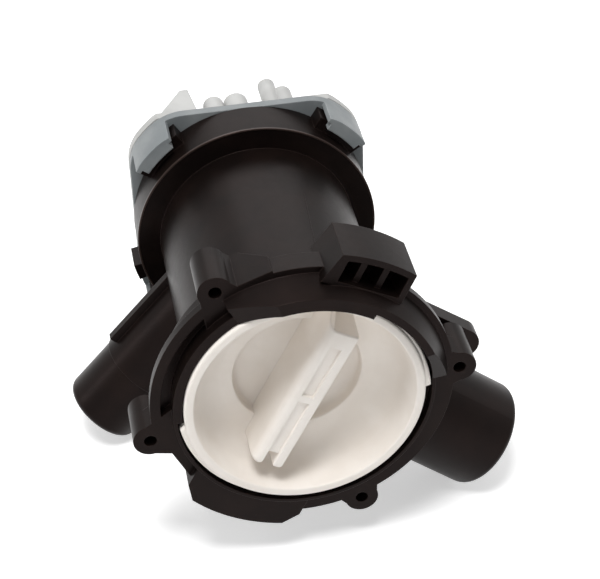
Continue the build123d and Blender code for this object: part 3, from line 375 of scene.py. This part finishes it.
def cam(middle, half, ends, taper):
    """A strip beside the rim: a rounded section carried along an arc. Share runs along it, its width
    falls by taper * share, and it swells from both ends as the square root of CAM_ROUNDING * share."""
    front, rear = ends
    share = np.linspace(0, 1, CAM_STEPS)
    width = CAM_ROOT + CAM_WIDTH * (1 - taper * share)[:, None]
    swell = (np.minimum(1, np.minimum(share, 1 - share) * CAM_ROUNDING) ** 0.5)[:, None]
    outline = rounded(((front, 0.0, 0.1), (front, 1.0, 0.3), (rear, 1.0, 0.3), (rear, 0.0, 0.1)), 5)
    angle = np.radians(middle - half + 2 * half * share)[:, None]
    centre = (front + rear) / 2
    place = centre + (outline[None, :, 0] - centre) * (0.6 + 0.4 * swell)
    radius = CAM_FOOT + outline[None, :, 1] * width * (0.5 + 0.5 * swell)
    body = np.stack((radius * np.cos(angle), place, radius * np.sin(angle)), axis=-1)
    ends = [np.broadcast_to(body[i].mean(axis=0), body[i].shape)[None] for i in (0, -1)]
    return np.vstack((ends[0], body, ends[1]))


# Grip. Stations run up along it, across it the left is positive, and depths are behind its crests.
GRIP_ANGLE = 61.3
GRIP_TIP = -24.8
GRIP_END = 31.3
SLOT_LOW = -20.3
SLOT_HIGH = 18.2
SLOT_DEEP = 0.9
SLOT_LEFT = 1.5
SLOT_RIGHT = -1.85
OPEN_DEEP = 14.0
RIB_LOW = -1.3
RIB_HIGH = 1.0
HEAD_END = 23.6
HEAD_SIDE = 2.9
HEAD_FALL = 1.5
HEAD_ROUND = 0.4
HEAD_FACE = 0.7
HEAD_DROP = 13.0
LEFT_SIDE = 4.7
LEFT_ROUND = 2.5
LEFT_SHOULDER = 2.7
RIGHT_SIDE = -4.8
RIGHT_ROUND = 0.7
DRAFT = 0.3
LIP_ROUND = 0.25
TIP_ROUND = 1.5
TIP_NARROWS = 0.75
TIP_DROP = 1.1
LEFT_MIDDLE = 3.0
RIGHT_MIDDLE = -3.3
EDGE = 0.12
# Where the under side lies in the pocket's floor, and beyond the pocket in the bowl's floor
POCKET_REACH = 19.2
POCKET_UNDER = 17.3
BOWL_UNDER = 13.6
# Straight stretches of the grip: from, to, and number of stations
TIP_STRETCH = (-22.6, SLOT_LOW - EDGE, 5)
LOW_STRETCH = (-19.0, RIB_LOW - 1, 14)
HIGH_STRETCH = (RIB_HIGH + 1, 17.0, 14)
HEAD_STRETCH = (19.5, HEAD_END - 0.6, 4)
WALL_STRETCH = (HEAD_END + 1.5, GRIP_END, 8)


def grip():
    """A section across the grip, carried along it: a left wall with a rounded shoulder, a shallow slot
    that a flush rib crosses, and a right wall. Each wall ends below in a rounded tip, and the under side
    lies inside the cap's floor and closes the piece. The section's points are (across, depth), with
    quarter ellipses such as (LEFT_SIDE - LEFT_ROUND * (1 - cos), LEFT_SHOULDER * (1 - sin)) between
    straight sides. Last it is turned by GRIP_ANGLE about the pump's axis."""
    swing = np.linspace(0, math.pi / 2, 9)
    rise, run = 1 - np.cos(swing), 1 - np.sin(swing)
    along = np.concatenate((
        GRIP_TIP + TIP_ROUND * rise, np.linspace(*TIP_STRETCH), [SLOT_LOW + EDGE],
        np.linspace(*LOW_STRETCH), [RIB_LOW - EDGE, RIB_LOW + EDGE, RIB_HIGH - EDGE, RIB_HIGH + EDGE],
        np.linspace(*HIGH_STRETCH), [SLOT_HIGH - EDGE, SLOT_HIGH + EDGE], np.linspace(*HEAD_STRETCH),
        HEAD_END - HEAD_ROUND * np.cos(swing[::2]), [HEAD_END + HEAD_FACE], np.linspace(*WALL_STRETCH)))
    fall = np.linspace(1, 0, 8)[:, None]
    left_side = np.hstack((LEFT_SIDE + DRAFT * fall,
                           LEFT_SHOULDER + (POCKET_UNDER - LEFT_SHOULDER) * fall))
    shoulder = np.stack((LEFT_SIDE - LEFT_ROUND * rise, LEFT_SHOULDER * run), axis=-1)
    left_lip = np.stack((SLOT_LEFT + LIP_ROUND * run[::2], LIP_ROUND * rise[::2]), axis=-1)
    slot_floor = np.stack((np.linspace(SLOT_LEFT, SLOT_RIGHT, 6), np.zeros(6)), axis=-1)
    right_lip = np.stack((SLOT_RIGHT - LIP_ROUND * rise[::2], LIP_ROUND * run[::2]), axis=-1)
    right_top = np.stack((RIGHT_SIDE + RIGHT_ROUND * run, RIGHT_ROUND * rise), axis=-1)
    fall = fall[::-1]
    right_side = np.hstack((RIGHT_SIDE - DRAFT * fall,
                            RIGHT_ROUND + (POCKET_UNDER - RIGHT_ROUND) * fall))
    strips = (left_side, shoulder, left_lip, slot_floor, right_lip, right_top, right_side)
    section = np.vstack(strips)
    strip = np.repeat(np.arange(len(strips)), [len(points) for points in strips])
    in_slot = strip == 3
    lip = (strip == 2) | (strip == 4)

    # Depth of the slot's floor at each station along the grip
    corners = (SLOT_LOW, RIB_LOW, RIB_HIGH, SLOT_HIGH)
    steps = [GRIP_TIP] + [corner + side for corner in corners for side in (-EDGE, EDGE)] + [GRIP_END]
    deep = np.interp(along, steps, (OPEN_DEEP, OPEN_DEEP, SLOT_DEEP, SLOT_DEEP, 0.0, 0.0, SLOT_DEEP,
                                    SLOT_DEEP, 0.0, 0.0))
    tip = 1 - np.sqrt(1 - np.clip(1 - (along - GRIP_TIP) / TIP_ROUND, 0, 1) ** 2)
    across = np.broadcast_to(section[None, :, 0], (len(along), len(section))).copy()
    depth = np.broadcast_to(section[None, :, 1], across.shape).copy()
    depth[:, in_slot] = deep[:, None]
    depth[:, lip] = np.minimum(depth[:, lip], deep[:, None])
    middle = np.where(section[:, 0] > 0, LEFT_MIDDLE, RIGHT_MIDDLE)
    narrows = np.where(in_slot[None, :], 0, TIP_NARROWS * tip[:, None])
    across = across + (middle[None, :] - across) * narrows
    depth = depth + np.where(in_slot[None, :], 0, TIP_DROP * tip[:, None])

    # Past the head's end only the left wall goes on, its crest falling towards the bowl's wall
    past = np.interp(along, (HEAD_END - HEAD_ROUND, HEAD_END, HEAD_END + HEAD_FACE),
                     (0.0, HEAD_ROUND, HEAD_DROP))
    crest = HEAD_FALL * np.maximum(along - HEAD_END, 0)
    depth = np.where(section[None, :, 0] < HEAD_SIDE, depth + past[:, None],
                     np.maximum(depth, crest[:, None]))

    # Under side: the same line, inside the floor or the pocket's floor
    reach = np.hypot(along[:, None], across)
    under = np.where(reach < POCKET_REACH, POCKET_UNDER, BOWL_UNDER)
    depth = np.minimum(depth, under)
    stations = np.broadcast_to(along[:, None], across.shape)
    top = np.stack((stations, depth, across), axis=-1)
    low = np.stack((stations, under, across), axis=-1)
    both = np.concatenate((top, low[:, ::-1]), axis=1)
    flat = np.concatenate((low, low[:, ::-1]), axis=1)
    both = np.concatenate((flat[:1], both, flat[-1:]), axis=0)
    turn = math.radians(GRIP_ANGLE)
    x = both[..., 0] * math.cos(turn) - both[..., 2] * math.sin(turn)
    z = both[..., 0] * math.sin(turn) + both[..., 2] * math.cos(turn)
    return np.stack((x, both[..., 1], z), axis=-1)


cap_moulding = Moulding().grid(turned(rounded(CAP_PROFILE, 8)), round_rows=True, round_columns=True)
cap_moulding.grid(grip(), round_columns=True)
for ramp in RAMPS:
    cap_moulding.grid(cam(ramp, RAMP_HALF, RAMP_ENDS, RAMP_TAPER), round_columns=True)
for lug in LUGS:
    cap_moulding.grid(cam(lug, LUG_HALF, LUG_ENDS, 0.0), round_columns=True)
cap_moulding.make("cap_moulding", "cap", "cap", white_plastic, ("filter_cap",))

# Lip along the front edge of the housing's rear ring, in a lighter black plastic that is a painted
# highlight, and the mould's line along its body, whose ends are given by their places and angles
LIP_PROFILE = ((83.15, 36.4, 0.1), (83.15, 36.97, 0.12), (83.85, 36.97, 0.12), (83.85, 36.4, 0.1))
LINE_RADIUS = 30.0
LINE_ENDS = ((61.0, 68.0), (29.0, 72.0))
LINE_HALF_WIDTH = 0.16
LINE_HIGH = 0.07
LINE_SUNK = 0.1
LINE_TAPER = 12


def mould_line():
    """A low half-round bead on the body. Share runs from its rear end to its front, and swing across it.
    The radius is LINE_RADIUS - LINE_SUNK + (LINE_HIGH + LINE_SUNK) * sin(swing), and both ends run out to
    a point under the surface."""
    share = np.linspace(0, 1, 40)[:, None]
    swing = np.linspace(0, math.pi, 9)[None, :]
    (rear, rear_angle), (front, front_angle) = LINE_ENDS
    size = np.minimum(1, np.minimum(share, 1 - share) * LINE_TAPER)
    angle = np.radians(rear_angle + (front_angle - rear_angle) * share)
    angle = angle + size * LINE_HALF_WIDTH / LINE_RADIUS * np.cos(swing)
    radius = LINE_RADIUS - LINE_SUNK + size * (LINE_HIGH + LINE_SUNK) * np.sin(swing)
    place = np.broadcast_to(rear + (front - rear) * share, angle.shape)
    return np.stack((radius * np.cos(angle), place, radius * np.sin(angle)), axis=-1)


ring_lip = Moulding().grid(turned(rounded(LIP_PROFILE, 6)), round_rows=True, round_columns=True)
ring_lip.make("ring_lip", "pump", "housing", painted_highlight_lip_plastic)
bead = Moulding().grid(mould_line(), round_columns=True)
bead.make("body_mould_line", "pump", "housing", black_plastic)

# Camera, at the photograph's angle and lens
CAMERA_PLACE = (-61.3, -397.4, 330.6)
CAMERA_FORWARD = (0.1227, 0.7986, -0.5892)
CAMERA_UP = (0.1291, 0.5757, 0.8074)
CAMERA_LENS = 114.0
CAMERA_SENSOR = 36.0
CAMERA_NEAR = 0.01
forward = Vector(CAMERA_FORWARD).normalized()
right = forward.cross(Vector(CAMERA_UP)).normalized()
up = right.cross(forward)
camera = bpy.data.objects.new("camera", bpy.data.cameras.new("camera"))
camera.data.lens = CAMERA_LENS
camera.data.sensor_width = CAMERA_SENSOR
camera.data.clip_start = CAMERA_NEAR
placing = Matrix((right, up, -forward)).transposed().to_4x4()
placing.translation = Vector(DATUM) + Vector(CAMERA_PLACE) / 1000
camera.matrix_world = placing
bpy.context.scene.collection.objects.link(camera)
bpy.context.scene.camera = camera


def softbox(name, place, aim, width, height, power):
    """A large soft lamp at a place, turned towards a point, both in metres from the datum."""
    lamp = bpy.data.objects.new(name, bpy.data.lights.new(name, "AREA"))
    lamp.data.shape = "RECTANGLE"
    lamp.data.size = width
    lamp.data.size_y = height
    lamp.data.energy = power
    start = Vector(DATUM) + Vector(place)
    turn = (Vector(DATUM) + Vector(aim) - start).to_track_quat("-Z", "Y").to_matrix().to_4x4()
    turn.translation = start
    lamp.matrix_world = turn
    bpy.context.scene.collection.objects.link(lamp)


# Each lamp: its name, its place and its aim, its width and height in metres, and its power in watts
LAMPS = (("key lamp", (-0.12, -0.24, 1.0), (0, 0.03, 0), 0.34, 0.34, 8.4),
         ("front lamp", (-0.45, -0.9, 0.45), (0, 0, 0), 0.3, 0.3, 0.8),
         ("left lamp", (-0.8, 0.05, 0.45), (0, 0.05, 0), 0.1, 0.8, 1.6),
         ("right lamp", (0.75, 0.1, 0.55), (0, 0.05, 0), 0.15, 0.7, 1.0),
         ("rear lamp", (0.1, 0.8, 0.6), (0, 0.05, 0), 0.8, 0.4, 1.6))
for lamp in LAMPS:
    softbox(*lamp)

# Floor and surroundings, white to the camera
floor_mesh = bpy.data.meshes.new("floor")
FLOOR_HALF = 3.0
FLOOR_GLOW = 0.45
floor_mesh.from_pydata([(-FLOOR_HALF, -FLOOR_HALF, 0), (FLOOR_HALF, -FLOOR_HALF, 0),
                        (FLOOR_HALF, FLOOR_HALF, 0), (-FLOOR_HALF, FLOOR_HALF, 0)], [], [(0, 1, 2, 3)])
floor = bpy.data.objects.new("floor", floor_mesh)
floor_finish = Finish("white floor", Roughness=0.9, Specular_IOR_Level=0.1, Emission_Strength=1.0)
floor_finish.feed("Base Color", floor_finish.mix(floor_finish.noise(3, 2) * 0.1, rgb(250, 250, 250),
                                                 rgb(244, 244, 244)))
eye = [floor_finish.node("ShaderNodeLightPath", output=name)
       for name in ("Is Camera Ray", "Is Glossy Ray", "Is Transmission Ray")]
floor_finish.feed("Emission Color", floor_finish.mix(eye[0] + eye[1] + eye[2], (0, 0, 0, 1),
                                                     (FLOOR_GLOW, FLOOR_GLOW, FLOOR_GLOW, 1)))
floor_mesh.materials.append(floor_finish.material)
bpy.context.scene.collection.objects.link(floor)

WORLD_LEVEL = 0.24
world = bpy.data.worlds.new("studio")
bpy.context.scene.world = world
world.use_nodes = True
sky = world.node_tree
rays = sky.nodes.new("ShaderNodeLightPath")
seen = sky.nodes.new("ShaderNodeMath")
seen.operation = "MAXIMUM"
sky.links.new(rays.outputs["Is Camera Ray"], seen.inputs[0])
clear = sky.nodes.new("ShaderNodeMath")
clear.operation = "MAXIMUM"
sky.links.new(rays.outputs["Is Glossy Ray"], clear.inputs[0])
sky.links.new(rays.outputs["Is Transmission Ray"], clear.inputs[1])
sky.links.new(clear.outputs[0], seen.inputs[1])
level = sky.nodes.new("ShaderNodeMapRange")
level.inputs["To Min"].default_value = WORLD_LEVEL
level.inputs["To Max"].default_value = 1.0
sky.links.new(seen.outputs[0], level.inputs["Value"])
sky.nodes["Background"].inputs["Color"].default_value = (1.0, 1.0, 1.0, 1.0)
sky.links.new(level.outputs[0], sky.nodes["Background"].inputs["Strength"])

bpy.context.scene.view_settings.view_transform = "Standard"
